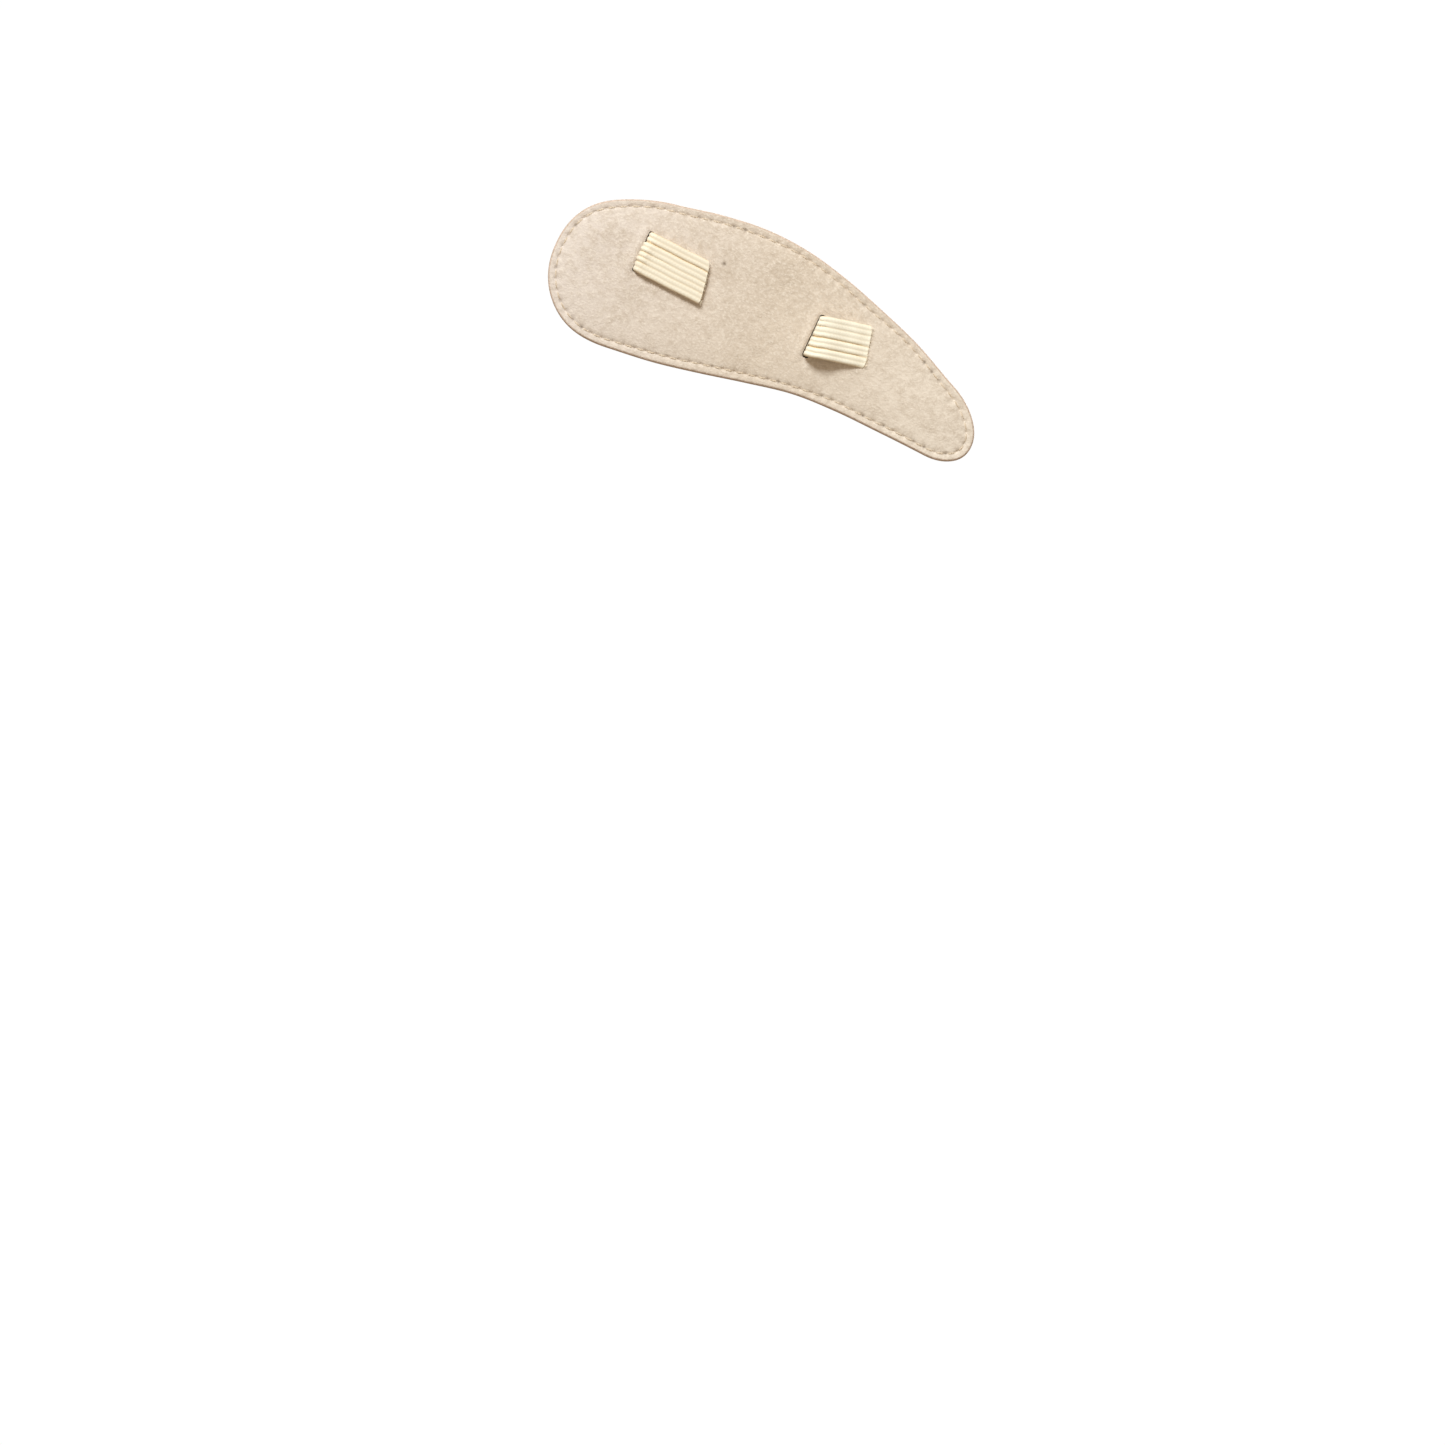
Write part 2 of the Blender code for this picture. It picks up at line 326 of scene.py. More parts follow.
class Value:
    def __init__(self, graph, socket):
        self.graph, self.socket = graph, socket

    def calc(self, operation, first, second):
        return self.graph.node("ShaderNodeMath", {"operation": operation}, {0: first, 1: second})

    def __add__(self, other):
        return self.calc("ADD", self, other)

    __radd__ = __add__

    def __mul__(self, other):
        return self.calc("MULTIPLY", self, other)

    __rmul__ = __mul__

    def __sub__(self, other):
        return self.calc("SUBTRACT", self, other)

    def __rsub__(self, other):
        return self.calc("SUBTRACT", other, self)


class Graph:
    def __init__(self, name):
        self.material = bpy.data.materials.new(name)
        self.material.use_nodes = True
        self.tree = self.material.node_tree
        self.surface = self.tree.nodes["Principled BSDF"]

    def feed(self, socket, value):
        if isinstance(value, Value):
            self.tree.links.new(value.socket, socket)
        else:
            socket.default_value = value

    def node(self, kind, settings=None, inputs=None, output=0):
        made = self.tree.nodes.new(kind)
        for name, value in (settings or {}).items():
            if name == "stops":
                for i, (place, color) in enumerate(value):
                    stops = made.color_ramp.elements
                    stop = stops[i] if i < len(stops) else stops.new(place)
                    stop.position, stop.color = place, color
            else:
                setattr(made, name, value)
        for name, value in (inputs or {}).items():
            self.feed(made.inputs[name], value)
        return Value(self, made.outputs[output])

    def mixColor(self, factor, first, second, blend="MIX"):
        settings = {"data_type": "RGBA", "blend_type": blend}
        return self.node("ShaderNodeMix", settings, {0: factor, 6: first, 7: second}, output=2)

    def noise(self, vector, scale, detail=3.0, roughness=0.55):
        inputs = {"Vector": vector, "Scale": scale, "Detail": detail, "Roughness": roughness}
        return self.node("ShaderNodeTexNoise", None, inputs)

    def bump(self, height, strength, distance):
        inputs = {"Height": height, "Strength": strength, "Distance": distance}
        return self.node("ShaderNodeBump", None, inputs)

    def finish(self, inputs):
        for name, value in inputs.items():
            self.feed(self.surface.inputs[name], value)
        return self.material


def tone(red, green, blue):
    linear = []
    for level in (red, green, blue):
        share = level / 255
        linear.append(share / 12.92 if share <= 0.04045 else ((share + 0.055) / 1.055) ** 2.4)
    return (*linear, 1.0)


suede = {
    "broad": tone(225, 212, 202),
    "middle": tone(220, 204, 186),
    "narrow": tone(237, 224, 209),
    "shade": tone(194, 176, 156),
    "light": tone(242, 230, 216),
    "cut": tone(246, 217, 203),
    # colour of the painted shade in the needle holes, the pinhole and along the slits
    "paintedShade": tone(112, 94, 76),
    "napScale": 2600,
    "patchScale": 95,
}


def suedeMaterial(name, seed):
    g = Graph(name)
    place = g.node("ShaderNodeTexCoord", output="Object")
    moved = g.node("ShaderNodeMapping", None, {"Vector": place, "Location": (seed, seed, 0)})
    brushed = g.node("ShaderNodeMapping", None, {
        "Vector": moved, "Rotation": (0, math.radians(-20), 0), "Scale": (0.8, 1, 1),
    })
    x = g.node("ShaderNodeSeparateXYZ", None, {"Vector": place}, output="X")
    along = g.node("ShaderNodeMapRange", None, {
        "Value": x, "From Min": soleLow.x, "From Max": soleHigh.x,
    })
    base = g.node("ShaderNodeValToRGB", {"stops": [
        (0.0, suede["broad"]), (0.5, suede["middle"]), (1.0, suede["narrow"]),
    ]}, {"Fac": along})
    paintedShade = g.node("ShaderNodeAttribute", {"attribute_name": "paintedShade"}, output="Fac")
    patches = g.noise(moved, suede["patchScale"], 3.0)
    wearAndShade = g.noise(moved, suede["patchScale"] * 4.3, 2.0)
    nap = g.noise(brushed, suede["napScale"], 4.0, 0.65)
    grain = g.noise(brushed, suede["napScale"] * 0.4, 3.0, 0.6)
    z = g.node("ShaderNodeSeparateXYZ", None, {"Vector": place}, output="Z")
    across = g.node("ShaderNodeMapRange", None, {
        "Value": z, "From Min": soleLow.z, "From Max": soleHigh.z,
    })
    shadeShare = (patches - 0.5) * 0.7 + (wearAndShade - 0.5) * 0.5 + (grain - 0.5) * 1.6 + across * 0.34
    shaded = g.mixColor(shadeShare, base, suede["shade"])
    lightShare = (nap - 0.48) * 3.2
    napped = g.mixColor(lightShare, shaded, suede["light"])
    # painted shade in the needle holes, in the pinhole and along the slits
    color = g.mixColor(paintedShade * 0.7, napped, suede["paintedShade"])
    height = nap * 0.8 + grain * 0.8 + wearAndShade * 0.4
    return g.finish({
        "Base Color": color,
        "Roughness": 0.92,
        "Specular IOR Level": 0.18,
        "Sheen Weight": 0.2,
        "Sheen Roughness": 0.55,
        "Sheen Tint": (1.0, 0.95, 0.88, 1.0),
        "Normal": g.bump(height, 0.6, 0.25 * mm),
    })


def cutEdgeMaterial(name):
    g = Graph(name)
    place = g.node("ShaderNodeTexCoord", output="Object")
    fibre = g.noise(place, 2600, 5.0, 0.7)
    color = g.mixColor((fibre - 0.36) * 2.4, suede["shade"], suede["cut"])
    return g.finish({
        "Base Color": color,
        "Roughness": 0.95,
        "Specular IOR Level": 0.15,
        "Normal": g.bump(fibre, 0.8, 0.25 * mm),
    })


elasticLook = {
    "rib": tone(255, 248, 230),
    # tone of the painted shade in the grooves
    "groove": tone(226, 202, 164),
    # darker tone of the painted shade on the broad tail
    "wearAndShade": tone(224, 209, 186),
    "fibreScale": 5200,
}


def elasticMaterial(name):
    g = Graph(name)
    place = g.node("ShaderNodeTexCoord", output="Object")
    hollow = g.node("ShaderNodeAttribute", {"attribute_name": "hollow"}, output="Fac")
    fibre = g.noise(place, elasticLook["fibreScale"], 4.0, 0.65)
    patches = g.noise(place, 320, 2.0)
    # painted shade: the broad tail is darkened, and its grooves more so
    wearAndShade = g.node("ShaderNodeAttribute", {"attribute_name": "wearAndShade"}, output="Fac")
    # painted shade in the grooves: the deeper the groove, the nearer the colour to the groove tone
    share = hollow * (0.9 + wearAndShade * 0.5) + (fibre - 0.5) * 0.35 + (patches - 0.5) * 0.3
    clean = g.mixColor(share, elasticLook["rib"], elasticLook["groove"])
    color = g.mixColor(wearAndShade * 0.4, clean, elasticLook["wearAndShade"])
    return g.finish({
        "Base Color": color,
        "Roughness": 0.8,
        "Specular IOR Level": 0.25,
        "Sheen Weight": 0.15,
        "Sheen Roughness": 0.5,
        "Normal": g.bump(fibre, 0.45, 0.08 * mm),
    })


def threadMaterial(name):
    g = Graph(name)
    place = g.node("ShaderNodeTexCoord", output="Object")
    twist = g.node("ShaderNodeTexWave", {"bands_direction": "DIAGONAL"}, {
        "Vector": place, "Scale": 900, "Distortion": 1.5, "Detail": 1.0,
    }, output="Fac")
    color = g.mixColor(twist, tone(204, 185, 161), tone(228, 211, 189))
    return g.finish({
        "Base Color": color,
        "Roughness": 0.7,
        "Specular IOR Level": 0.3,
        "Normal": g.bump(twist, 0.5, 0.06 * mm),
    })


soleSuede = suedeMaterial("soleSuede", 0.013)
crestSuede = suedeMaterial("crestSuede", 0.271)
cutEdge = cutEdgeMaterial("cutEdge")
elasticKnit = elasticMaterial("elasticKnit")
seamThread = threadMaterial("seamThread")
print("materials ready")


# seam relief, shared by both covers: how far the surface sinks at this distance inside it

def holeStep(column):
    return min(column["phase"], 1 - column["phase"]) * 2.2 * mm


def seamRelief(column, fromSeam):
    sunk = seam["depth"] * math.exp(-(fromSeam / seam["spread"]) ** 2)
    hole = seam["holeDepth"] * math.exp(-(fromSeam / seam["holeSpread"]) ** 2)
    sunk += hole * math.exp(-(holeStep(column) / seam["holeSpread"]) ** 2)
    pull = math.cos(2 * math.pi * column["phase"]) * math.exp(-abs(fromSeam) / seam["puckerReach"])
    return sunk + seam["pucker"] * pull


# painted shade round a needle hole
def prickShade(column, fromSeam):
    away = (fromSeam ** 2 + holeStep(column) ** 2) / seam["prickSpread"] ** 2
    return column["paintedShade"] * math.exp(-away)


def flangeInsets(columns, last):
    # rings crowd round the seam, wherever it strays
    for share in (0.4, 0.62):
        yield [c["sewn"] * share for c in columns]
    offsets = (-0.32, -0.22, -0.14, -0.07, 0.0, 0.07, 0.14, 0.22, 0.32)
    for offset in offsets:
        yield [c["sewn"] + offset * mm for c in columns]
    beyond = offsets[-1] * mm
    for share in (0.25, 0.6, 1.0):
        yield [c["sewn"] + beyond + (last - c["sewn"] - beyond) * share for c in columns]


rimRings = [  # inset, share of a cover's thickness
    (0.40 * mm, 0.00), (0.10 * mm, 0.07), (0.00, 0.24), (0.00, 0.50),
    (0.00, 0.76), (0.08 * mm, 0.93), (0.30 * mm, 1.00),
]

sole = {
    "crown": 0.5 * mm,
    "crownReach": 2.6 * mm,
    "lumps": 0.16 * mm,
    "lumpScale": 130,
    "closeUp": 0.13 * mm,  # how far each cover fills the gap between them
    "flangeEnd": 2.9 * mm,
    "fieldRings": 26,
    "broadPole": 9 * mm,
    "pinhole": Vector((-3.09 * mm, 0, 4.77 * mm)),
    "pinholeRadius": 0.32 * mm,
    "pinholeDepth": 0.25 * mm,
    # how each slit lifts one lip and sinks the other: height, away from the slit, reach
    "lips": ((0.34 * mm, -1.25 * mm, 0.9 * mm), (-0.16 * mm, 1.7 * mm, 1.3 * mm)),
    "lipFade": 0.5 * mm,
    # reach and fade of the painted shade along each slit
    "slitShadeReach": 0.36 * mm,
    "slitShadeFade": 0.3 * mm,
}


def lipRelief(point):
    raised = 0.0
    for key in ("broad", "narrow"):
        tail = band[key]
        dx = point.x - tail["side"] * band["span"] / 2
        dz = abs(point.z - tail["rise"]) - band["width"] / 2
        along = 1 / (1 + math.exp(dz / sole["lipFade"]))
        for height, away, reach in sole["lips"]:
            raised += height * along * math.exp(-((dx - away) / reach) ** 2)
    return raised


def soleLift(column, point, fromEdge, share=1.0):
    inside = max(fromEdge - column["sewn"], 0.0)
    crown = sole["crown"] * (1 - math.exp(-inside / sole["crownReach"]))
    soft = 1 - math.exp(-inside / (3 * mm))
    lumps = sole["lumps"] * soft * noise.noise(point * sole["lumpScale"])
    lumps += 0.25 * sole["lumps"] * noise.noise(point * sole["lumpScale"] * 4)
    relief = seamRelief(column, fromEdge - column["sewn"]) * share
    relief += sole["pinholeDepth"] * pinholeShade(point)
    return crown + lumps + lipRelief(point) - relief


def pinholeShade(point):
    return math.exp(-((point - sole["pinhole"]).length / sole["pinholeRadius"]) ** 2)


def slitShade(point):
    # painted shade: the suede is darkened along the outer lip of each slit
    found = 0.0
    for key in ("broad", "narrow"):
        tail = band[key]
        lip = tail["side"] * band["span"] / 2 - band["thickness"] / 2 - tail["gap"]
        dx = (point.x - lip) / sole["slitShadeReach"]
        dz = max(abs(point.z - tail["rise"]) - band["width"] / 2, 0.0) / sole["slitShadeFade"]
        found += tail["slitShadeStrength"] * math.exp(-dx * dx - dz * dz)
    return found


# one cover: its rim, the flange with the seam, the field up to the ridge and the hidden side

def makeCover(name, columns, hidden, face, lift, flangeEnd, shares, materials, pinhole=False):
    up = 1 if face > hidden else -1
    bm = bmesh.new()
    paintedShade = bm.verts.layers.float.new("paintedShade")
    first = ring = None
    for inset, share in rimRings:
        y = hidden + (face - hidden) * share
        places = [c["edge"] + c["inward"] * inset + Vector((0, y, 0)) for c in columns]
        ring = startRing(bm, places) if ring is None else growRing(bm, ring, places, 1)
        first = first or ring
    base = []
    for insets in flangeInsets(columns, flangeEnd):
        base = [c["edge"] + c["inward"] * inset for c, inset in zip(columns, insets)]
        places = [
            p + Vector((0, face + up * lift(c, p, inset), 0))
            for c, p, inset in zip(columns, base, insets)
        ]
        ring = growRing(bm, ring, places)
        for vert, c, inset in zip(ring, columns, insets):
            vert[paintedShade] = prickShade(c, inset - c["sewn"])
    for share in shares:
        places = []
        shades = []
        for c, p in zip(columns, base):
            point = c["ridge"].lerp(p, share)
            fromEdge = flangeEnd * share + c["half"] * (1 - share)
            places.append(point + Vector((0, face + up * lift(c, point, fromEdge, share), 0)))
            # painted shade in the pinhole and along the slit lips, in the same attribute as the
            # needle holes
            shades.append(1.4 * pinholeShade(point) + slitShade(point) if pinhole else 0.0)
        ring = growRing(bm, ring, places)
        for vert, shade in zip(ring, shades):
            vert[paintedShade] = shade
    ring = first
    for share in (0.6, 0.0):
        places = [c["ridge"].lerp(c["edge"], share) + Vector((0, hidden, 0)) for c in columns]
        ring = growRing(bm, ring, places)
    return toObject(bm, name, materials)


def makeSoleCover():
    columns = padColumns(seam["stitches"] * seam["steps"], sole["broadPole"])
    face = soleLow.y + sole["crown"]
    count = sole["fieldRings"]
    shares = [1 - i / count for i in range(1, count + 1)]
    piece = makeCover("soleCover", columns, soleHigh.y + sole["closeUp"], face, soleLift,
                      sole["flangeEnd"], shares, [soleSuede, cutEdge], True)
    tails = (band["broad"], band["narrow"])
    cutSlots(piece, [t["gap"] for t in tails], 0.12 * mm, [t["slitExtra"] for t in tails])
    return piece, columns, face


soleCover, soleColumns, soleFace = makeSoleCover()
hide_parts("sole_cover")
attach(soleCover, "root")
print("sole cover made:", len(soleCover.data.polygons), "faces")


# crest: a dome of felt under suede, puffed by a cloth simulation

crest = {
    "fullness": 2.4,
    "rings": [1.0, 0.97, 0.93, 0.87, 0.8, 0.71, 0.61, 0.5, 0.38, 0.26, 0.13, 0.0],
    "blowUp": 20.0,  # cloth settles badly on a mesh this small
    "voxel": 0.85 * mm,
    "shrink": 0.3 * mm,
    "pressure": 4.0,
    "frames": 20,
    "cap": 0.9 * mm,
    "lumps": 0.2 * mm,
    "lumpScale": 110,
    "puckers": 0.16 * mm,
    "puckerReach": 2.2 * mm,
    "field": [0.985, 0.97, 0.955, 0.935, 0.91, 0.885, 0.855, 0.82, 0.78, 0.735, 0.69, 0.64, 0.59,
              0.54, 0.48, 0.42, 0.36, 0.3, 0.24, 0.18, 0.12, 0.06, 0.0],
    "broadPole": 9 * mm,
    "dimple": 0.5 * mm,  # where the elastic's legs press into the dome
    "dimpleReach": 1.6 * mm,
    "dimpleFade": 1.2 * mm,
}
flangeFoot = crestLow.y - sole["closeUp"]
flangeTop = crestLow.y + pad["flangeThickness"]


def domeShape():
    columns = padColumns(180, pad["broadEnd"])
    height = crestHigh.y - flangeTop - crest["shrink"]
    bm = bmesh.new()
    foot = [c["edge"] + c["inward"] * pad["flange"] for c in columns]
    ring = startRing(bm, [p + Vector((0, flangeFoot, 0)) for p in foot], closed=True)
    for share in crest["rings"]:
        rise = math.sqrt(max(1 - share ** crest["fullness"], 0.0))
        places = []
        for c, p in zip(columns, foot):
            point = c["ridge"].lerp(p, share)
            point.y = flangeTop + height * c["dome"] * rise
            places.append(point)
        ring = growRing(bm, ring, places)
    return toObject(bm, "domeShape", [])


def puffDome(obj):
    size = crest["blowUp"]
    obj.data.transform(Matrix.Scale(size, 4))
    remesh = obj.modifiers.new("remesh", "REMESH")
    remesh.mode = "VOXEL"
    remesh.voxel_size = crest["voxel"] * size
    applyModifiers(obj)
    start = [v.co.copy() for v in obj.data.vertices]
    pins = obj.vertex_groups.new(name="pins")
    sewn = [i for i, co in enumerate(start) if co.y < (flangeTop + 0.35 * mm) * size]
    pins.add(sewn, 1.0, "REPLACE")
    legs = []
    for key in ("broad", "narrow"):
        legX, legZ = band[key]["side"] * band["span"] / 2, band[key]["rise"]
        for i, co in enumerate(start):
            dx, dz = abs(co.x / size - legX), abs(co.z / size - legZ)
            if dx < 1.1 * mm and dz < 4.2 * mm and co.y > flangeTop * size:
                legs.append(i)
    pins.add(legs, 1.0, "REPLACE")
    cloth = obj.modifiers.new("cloth", "CLOTH")
    cloth.settings.quality = 6
    cloth.settings.mass = 0.3
    cloth.settings.tension_stiffness = 12
    cloth.settings.compression_stiffness = 12
    cloth.settings.bending_stiffness = 0.6
    cloth.settings.use_pressure = True
    cloth.settings.uniform_pressure_force = crest["pressure"]
    cloth.settings.effector_weights.gravity = 0
    cloth.settings.vertex_group_mass = "pins"
    cloth.collision_settings.use_collision = False
    cloth.point_cache.frame_start, cloth.point_cache.frame_end = 1, crest["frames"]
    for number in range(1, crest["frames"] + 1):
        scene.frame_set(number)
    applyModifiers(obj)
    scene.frame_set(1)
    cap = crest["cap"] * size
    moved = 0.0
    for vert, old in zip(obj.data.vertices, start):
        step = vert.co - old
        moved = max(moved, step.length)
        if step.length > cap:
            vert.co = old + step * (cap / step.length)
    print("dome puffed, most moved", round(moved / size / mm, 2), "mm of", len(start), "points")
    smooth = obj.modifiers.new("smooth", "SMOOTH")
    smooth.iterations = 3
    subdivide = obj.modifiers.new("subdivide", "SUBSURF")
    subdivide.levels = subdivide.render_levels = 1
    applyModifiers(obj)
    obj.data.transform(Matrix.Scale(1 / size, 4))


def surfaceBelow(obj):
    bm = bmesh.new()
    bm.from_mesh(obj.data)
    tree = BVHTree.FromBMesh(bm)
    bm.free()
    return tree


def crestHeight(tree, point):
    hit = tree.ray_cast(Vector((point.x, 20 * mm, point.z)), Vector((0, -1, 0)))[0]
    return flangeTop if hit is None else max(hit.y, flangeTop)


def legDimple(point):
    sunk = 0.0
    for key in ("broad", "narrow"):
        tail = band[key]
        dx = (point.x - tail["side"] * band["span"] / 2) / crest["dimpleReach"]
        dz = max(abs(point.z - tail["rise"]) - band["width"] / 2, 0.0) / crest["dimpleFade"]
        sunk += math.exp(-dx * dx - dz * dz)
    return sunk


def crestLift(tree, column, point, fromEdge, share=1.0):
    inside = max(fromEdge - pad["flange"], 0.0)
    soft = 1 - math.exp(-inside / (3 * mm))
    lumps = crest["lumps"] * soft * noise.noise(point * crest["lumpScale"] + Vector((3, 1, 7)))
    lumps += 0.2 * crest["lumps"] * noise.noise(point * crest["lumpScale"] * 5)
    # the cover is drawn in by each stitch, and its folds run a little way up the dome
    pull = noise.noise(Vector((column["distance"] * 420, column["inward"].z * 3, 5)))
    rising = math.exp(-((inside - 0.9 * mm) / crest["puckerReach"]) ** 2)
    lumps += crest["puckers"] * pull * rising * share
    lumps -= crest["dimple"] * legDimple(point)
    raised = crestHeight(tree, point) - flangeTop if inside > 0 or share < 1 else 0.0
    return raised + lumps - 2.2 * seamRelief(column, fromEdge - column["sewn"]) * share


def makeCrestPad():
    shape = domeShape()
    puffDome(shape)
    tree = surfaceBelow(shape)
    bpy.data.objects.remove(shape, do_unlink=True)
    columns = padColumns(seam["stitches"] * seam["steps"], crest["broadPole"])
    piece = makeCover("crestPad", columns, flangeFoot, flangeTop, partial(crestLift, tree),
                      pad["flange"], crest["field"], [crestSuede, cutEdge])
    cutSlots(piece, (0.15 * mm, 0.15 * mm), 0.15 * mm, (0.3 * mm, 0.3 * mm))
    return piece, columns


crestPad, crestColumns = makeCrestPad()
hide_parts("crest_pad")
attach(crestPad, "root")
print("crest pad made:", len(crestPad.data.polygons), "faces")


# seam threads: one short arch from needle hole to needle hole

def threadPlaces(middle, side, up, radius):
    places = []
    for k in range(6):
        angle = 2 * math.pi * k / 6
        places.append(middle + side * radius * math.cos(angle) + up * radius * math.sin(angle))
    return places


def makeSeam(name, columns, height, up):
    bm = bmesh.new()
    count, steps = len(columns), seam["steps"]
    line = [c["edge"] + c["inward"] * c["sewn"] for c in columns]
    rises = [-0.30, -0.10, 0.02, 0.06, 0.06, 0.02, -0.10, -0.30]
    widths = [0.55, 0.85, 1.0, 1.0, 1.0, 1.0, 0.85, 0.55]
    for stitch in range(0, count, steps):
        ring = None
        for k, (rise, width) in enumerate(zip(rises, widths)):
            share = 0.45 + k * (steps - 0.9) / (len(rises) - 1)
            i = stitch + int(share)
            here, after = line[i % count], line[(i + 1) % count]
            middle = here.lerp(after, share - int(share))
            side = up.cross((after - here).normalized()).normalized()
            level = height + up.y * (rise * mm - seam["threadSunk"])
            middle = Vector((middle.x, level, middle.z))
            places = threadPlaces(middle, side, up, seam["threadRadius"] * width)
            ring = startRing(bm, places, True) if ring is None else growRing(bm, ring, places)
        bmesh.ops.contextual_create(bm, geom=[
            bm.edges.get((ring[j - 1], ring[j])) for j in range(len(ring))
        ])
    piece = toObject(bm, name, [seamThread], 0.0001 * mm)
    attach(piece, "root")
    return piece


soleSeam = makeSeam("soleSeam", soleColumns, soleFace, Vector((0, -1, 0)))
crestSeam = makeSeam("crestSeam", crestColumns, flangeTop, Vector((0, 1, 0)))
print("seams sewn:", seam["stitches"], "stitches on each face")


# toe loop: one ribbed band, from its broad side's free end to its narrow side's

bandOnSole = soleFace - sole["crown"] - band["rest"] - band["thickness"] / 2


def tailRoute(tail):
    legX = tail["side"] * band["span"] / 2
    fold, lift, length = tail["fold"], tail["lift"], tail["length"]
    run = length - fold
    route = []
    steps = 60
    flat = 0.3  # share of the tail, from its free end, that lies flat on the suede
    for i in range(steps + 1):
        share = i / steps
        raised = max(share - flat, 0.0) / (1 - flat)
        down = lift * (3 * raised**2 - 2 * raised**3)
        slope = lift * 6 * raised * (1 - raised) / ((1 - flat) * run)
        route.append((length - run * share, bandOnSole - down, math.atan(slope), 1.0))
    for i in range(1, 17):
        angle = math.pi / 2 * i / 16
        across, up = fold * (1 - math.sin(angle)), fold * (1 - math.cos(angle))
        route.append((across, bandOnSole - lift + up, -angle, 1 - i / 16))
    placed = []
    for out, height, tilt, twist in route:
        turn = Matrix.Rotation(-math.radians(tail["turn"]) * twist, 3, "Y")
        middle = turn @ Vector((out, 0, 0)) + Vector((legX, height, tail["rise"]))
        outward = turn @ Vector((math.sin(tilt), -math.cos(tilt), 0))
        placed.append((middle, turn @ Vector((0, 0, 1)), outward))
    return placed


def archRoute():
    half = band["span"] / 2
    bow = band["height"] - band["legRise"]
    broadZ, narrowZ = band["broad"]["rise"], band["narrow"]["rise"]
    middles = [Vector((-half, y * mm, broadZ)) for y in (-8, -4, 0, 2)]
    steps = 160
    for i in range(steps + 1):
        angle = math.pi * i / steps
        power = 2 / band["fullness"]
        x = -half * math.copysign(abs(math.cos(angle)) ** power, math.cos(angle))
        y = band["legRise"] + bow * max(math.sin(angle), 0.0) ** power
        middles.append(Vector((x, y, broadZ + (narrowZ - broadZ) * i / steps)))
    middles += [Vector((half, y * mm, narrowZ)) for y in (2, 0, -4, -8)]
    placed = []
    for i, middle in enumerate(middles):
        ahead = middles[min(i + 1, len(middles) - 1)] - middles[max(i - 1, 0)]
        ahead.z = 0
        ahead.normalize()
        placed.append((middle, Vector((0, 0, 1)), Vector((-ahead.y, ahead.x, 0))))
    return placed


def evenSections(route, step):
    reach = [0.0]
    for i in range(1, len(route)):
        reach.append(reach[-1] + (route[i][0] - route[i - 1][0]).length)
    count = int(reach[-1] / step)
    placed = []
    k = 0
    for i in range(count + 1):
        target = reach[-1] * i / count
        while k < len(route) - 2 and reach[k + 1] < target:
            k += 1
        u = (target - reach[k]) / max(reach[k + 1] - reach[k], 1e-9)
        here, after = route[k], route[k + 1]
        placed.append((
            here[0].lerp(after[0], u),
            here[1].lerp(after[1], u).normalized(),
            here[2].lerp(after[2], u).normalized(),
            target,
        ))
    return placed, reach[-1]


def foldShare(distance, length):
    # 1 where the band turns into a slit, 0 away from both
    found = 0.0
    for key, fromEnd in (("broad", distance), ("narrow", length - distance)):
        turn = band[key]["length"] - 0.2 * band[key]["fold"]
        found += math.exp(-((fromEnd - turn) / (1.3 * mm)) ** 2)
    return found


def bandProfile(distance, length):
    # across, thickness and how deep in a groove, once round the band
    steps = band["ribs"] * band["pointsPerRib"]
    folded = foldShare(distance, length)
    broadSide = 1 if distance < length / 2 else 0.35
    flat = max(1 - (length - distance) / (3.5 * mm), 0.0)  # the narrow side's end is pressed thin
    flat = flat * flat * (3 - 2 * flat)
    half = band["thickness"] / 2 * (1 - 0.6 * flat)
    faces = []
    for face in (1, -1):
        row = []
        for i in range(steps + 1):
            rib, place = divmod(i / band["pointsPerRib"], 1)
            crown = abs(math.sin(math.pi * place)) ** 0.7
            groove = band["grooves"][face][int(rib) + (1 if place > 0.5 else 0)]
            groove *= 1 + 0.7 * folded
            chevron = distance / band["knit"] + 0.5 * abs(2 * place - 1) + (0.5 if rib % 2 else 0)
            knit = 0.5 - 0.5 * math.cos(2 * math.pi * chevron)
            lowered = band["ribDepth"] * groove * (1 - crown) + band["knitDepth"] * knit * crown
            waver = noise.noise(Vector((rib * 3.7, face, distance * 150)))
            lowered += 0.05 * mm * (1 - crown) * waver
            place = min(max(i / band["pointsPerRib"] - 0.5, 0), band["ribs"] - 1.001)
            low, mix = divmod(place, 1)
            bulges = band["foldBulge"][int(low):int(low) + 2]
            bulge = folded * mm * (bulges[0] * (1 - mix) + bulges[1] * mix) * broadSide
            across = band["width"] * (i / steps - 0.5)
            # how deep in a groove, which sets the painted shade in the grooves
            hollow = (1 - crown) * 0.8 * groove + 0.15 * knit * crown
            row.append((across, face * (half - min(lowered, half * 0.8)) + bulge, hollow))
        faces.append(row)
    # the pressed end sinks by what it lost, and by the gap under it
    shift = (band["thickness"] / 2 - half) + flat * (band["rest"] + 0.05 * mm)
    return [(across, thick + shift, hollow) for across, thick, hollow in faces[0] + faces[1][::-1]]


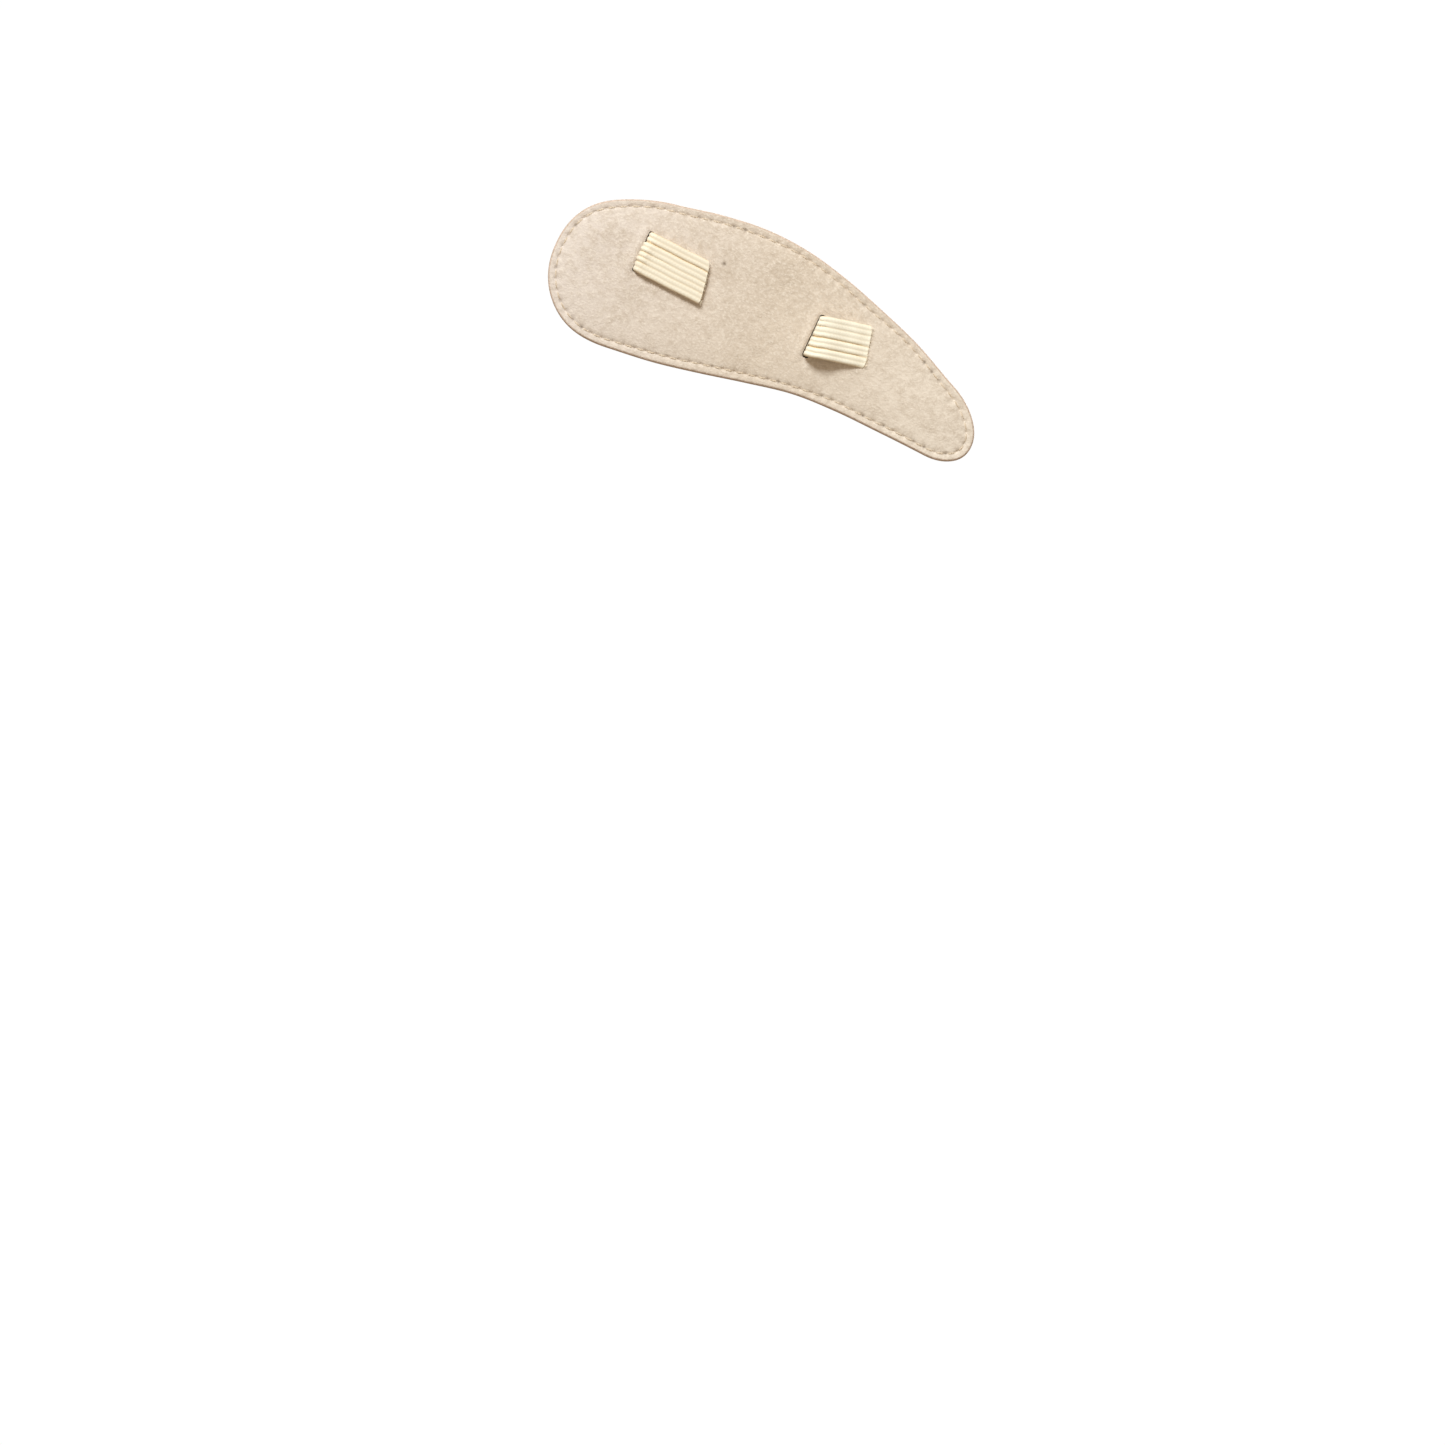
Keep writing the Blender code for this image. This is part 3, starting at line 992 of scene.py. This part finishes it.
def makeToeLoop():
    narrow = tailRoute(band["narrow"])[::-1]
    route = tailRoute(band["broad"]) + archRoute()
    route += [(middle, across, -outward) for middle, across, outward in narrow]
    sections, length = evenSections(route, band["knit"] / band["sectionsPerKnit"])
    bm = bmesh.new()
    layer = bm.verts.layers.float.new("hollow")
    wearAndShade = bm.verts.layers.float.new("wearAndShade")
    ring = None
    for middle, across, outward, distance in sections:
        profile = bandProfile(distance, length)
        # painted shade on the broad tail: 1 up to about 14 mm from its free end, fading to 0
        broadTailShade = 1 / (1 + math.exp((distance - 14 * mm) / (1 * mm)))
        sway = 0.06 * mm * noise.noise(Vector((distance * 260, 0, 0)))
        places = []
        for side, thick, _ in profile:
            end = 0.0
            corner = band["cornerRound"] * abs(2 * side / band["width"]) ** 7
            for key, fromEnd, way in (("broad", distance, 1), ("narrow", length - distance, -1)):
                fade = max(1 - fromEnd / (4 * mm), 0.0)
                end += fade * (side * math.tan(math.radians(band[key]["skew"])) + way * corner)
            ahead = outward.cross(across)
            places.append(middle + across * (side + sway) + outward * thick + ahead * end)
        ring = startRing(bm, places, True) if ring is None else growRing(bm, ring, places)
        for vert, (_, _, hollow) in zip(ring, profile):
            vert[layer] = hollow
            vert[wearAndShade] = broadTailShade
    bmesh.ops.contextual_create(bm, geom=[
        bm.edges.get((ring[j - 1], ring[j])) for j in range(len(ring))
    ])
    print("elastic length", round(length / mm, 1), "mm in", len(sections), "sections")
    return toObject(bm, "toeLoop", [elasticKnit], 0.0001 * mm, 60), sections


toeLoop, bandSections = makeToeLoop()
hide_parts("toe_loop")
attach(toeLoop, "root")


# cut ends: short loose fibres

fray = {"count": 60, "radius": 0.03 * mm, "longest": 0.4 * mm, "seed": 7}


def makeFray():
    random.seed(fray["seed"])
    bm = bmesh.new()
    layer = bm.verts.layers.float.new("hollow")
    for key, (middle, across, outward, distance), sign in (
        ("broad", bandSections[0], -1), ("narrow", bandSections[-1], 1),
    ):
        ahead = outward.cross(across) * sign
        lean = math.tan(math.radians(band[key]["skew"]))
        for _ in range(fray["count"]):
            side = random.uniform(-0.49, 0.49) * band["width"]
            thick = random.uniform(-0.34, 0.34) * band["thickness"]
            if key == "narrow":  # its end is pressed thin on the suede
                thick = thick * 0.35 + 0.35 * mm
            root = middle + across * side + outward * thick
            root += outward.cross(across) * side * lean
            tip = ahead + across * random.uniform(-0.5, 0.5) + outward * random.uniform(-0.5, 0.5)
            reach = random.uniform(0.35, 1.0) * fray["longest"]
            side1 = tip.cross(outward).normalized()
            side2 = tip.cross(side1).normalized()
            ring = None
            for share, width in ((-0.3, 1.0), (0.5, 0.9), (1.0, 0.4)):
                centre = root + tip.normalized() * reach * share
                centre += side1 * reach * 0.2 * share * share * random.uniform(-1, 1)
                places = []
                for k in range(4):
                    angle = math.pi / 2 * k
                    spoke = side1 * math.cos(angle) + side2 * math.sin(angle)
                    places.append(centre + spoke * fray["radius"] * width)
                ring = startRing(bm, places, True) if ring is None else growRing(bm, ring, places)
                for vert in ring:
                    vert[layer] = 0.15
            bmesh.ops.contextual_create(bm, geom=[
                bm.edges.get((ring[j - 1], ring[j])) for j in range(4)
            ])
    piece = toObject(bm, "toeLoopFray", [elasticKnit], 0.0001 * mm)
    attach(piece, "root")
    return piece


makeFray()
print("toe loop made")


# stage

stage = {
    "floorZ": -0.5,
    "radius": 9.0,
    "glow": 1.0,
    "daylight": 0.42,
    "daylightColor": (1.0, 0.85, 0.66),
    "lamps": {  # direction it comes from, distance, size, power, colour
        "key": ((-0.43, -0.70, 0.57), 0.95, 0.36, 9.4, (0.91, 0.97, 1.0)),
        "toeSideKey": ((0.55, 0.62, 0.62), 0.95, 0.40, 7.0, (0.94, 0.97, 1.0)),
    },
}


def stagePaint():
    g = Graph("stagePaint")
    return g.finish({
        "Base Color": (0.05, 0.05, 0.05, 1.0),
        "Roughness": 0.9,
        "Specular IOR Level": 0.0,
        "Emission Color": (1.0, 1.0, 1.0, 1.0),
        "Emission Strength": stage["glow"],
    })


def makeStage():
    # one white shell: a flat floor that runs up into a round backdrop
    bm = bmesh.new()
    bmesh.ops.create_uvsphere(bm, u_segments=64, v_segments=48, radius=stage["radius"])
    for vert in bm.verts:
        vert.co.z = max(vert.co.z, stage["floorZ"])
    shell = toObject(bm, "floor", [stagePaint()])
    shell.visible_diffuse = False  # the daylight reaches the pad through it
    shell.visible_glossy = False
    shell.visible_transmission = False
    shell.visible_shadow = False


def makeLights():
    # a warm daylight for the pad, seen as plain white where the floor doesn't hide it
    world = bpy.data.worlds.new("daylight")
    world.use_nodes = True
    nodes, links = world.node_tree.nodes, world.node_tree.links
    sky = nodes["Background"]
    sky.inputs["Color"].default_value = (*stage["daylightColor"], 1)
    sky.inputs["Strength"].default_value = stage["daylight"]
    plain = nodes.new("ShaderNodeBackground")
    plain.inputs["Strength"].default_value = stage["glow"]
    plain.inputs["Color"].default_value = (1, 1, 1, 1)
    seen = nodes.new("ShaderNodeLightPath")
    either = nodes.new("ShaderNodeMixShader")
    links.new(seen.outputs["Is Camera Ray"], either.inputs[0])
    links.new(sky.outputs[0], either.inputs[1])
    links.new(plain.outputs[0], either.inputs[2])
    links.new(either.outputs[0], nodes["World Output"].inputs["Surface"])
    scene.world = world
    for name, (source, distance, size, power, color) in stage["lamps"].items():
        light = bpy.data.lights.new(name, "AREA")
        light.shape = "DISK"
        light.size = size
        light.energy = power
        light.color = color
        lamp = bpy.data.objects.new(name, light)
        direction = Vector(source).normalized()
        lamp.location = direction * distance
        lamp.rotation_euler = direction.to_track_quat("Z", "Y").to_euler()
        scene.collection.objects.link(lamp)


def makeCamera():
    half = photo["side"] / 2
    right = (half - photo["originX"]) * photo["scale"]
    up = (photo["originY"] - half) * photo["scale"]
    turn = Matrix.Rotation(-photo["roll"], 4, "Y")
    centre = turn @ Vector((right, 0, up))
    lens = bpy.data.cameras.new("camera")
    lens.sensor_width = 36
    lens.lens = 36 * photo["distance"] / (photo["side"] * photo["scale"])
    lens.clip_end = 100
    camera = bpy.data.objects.new("camera", lens)
    place = Vector((centre.x, soleFace - photo["distance"], centre.z))
    look = turn @ Matrix.Rotation(math.radians(90), 4, "X")
    camera.matrix_world = Matrix.Translation(place) @ look
    scene.collection.objects.link(camera)
    scene.camera = camera


makeStage()
makeLights()
makeCamera()
scene.view_settings.view_transform = "Standard"
print("stage set")
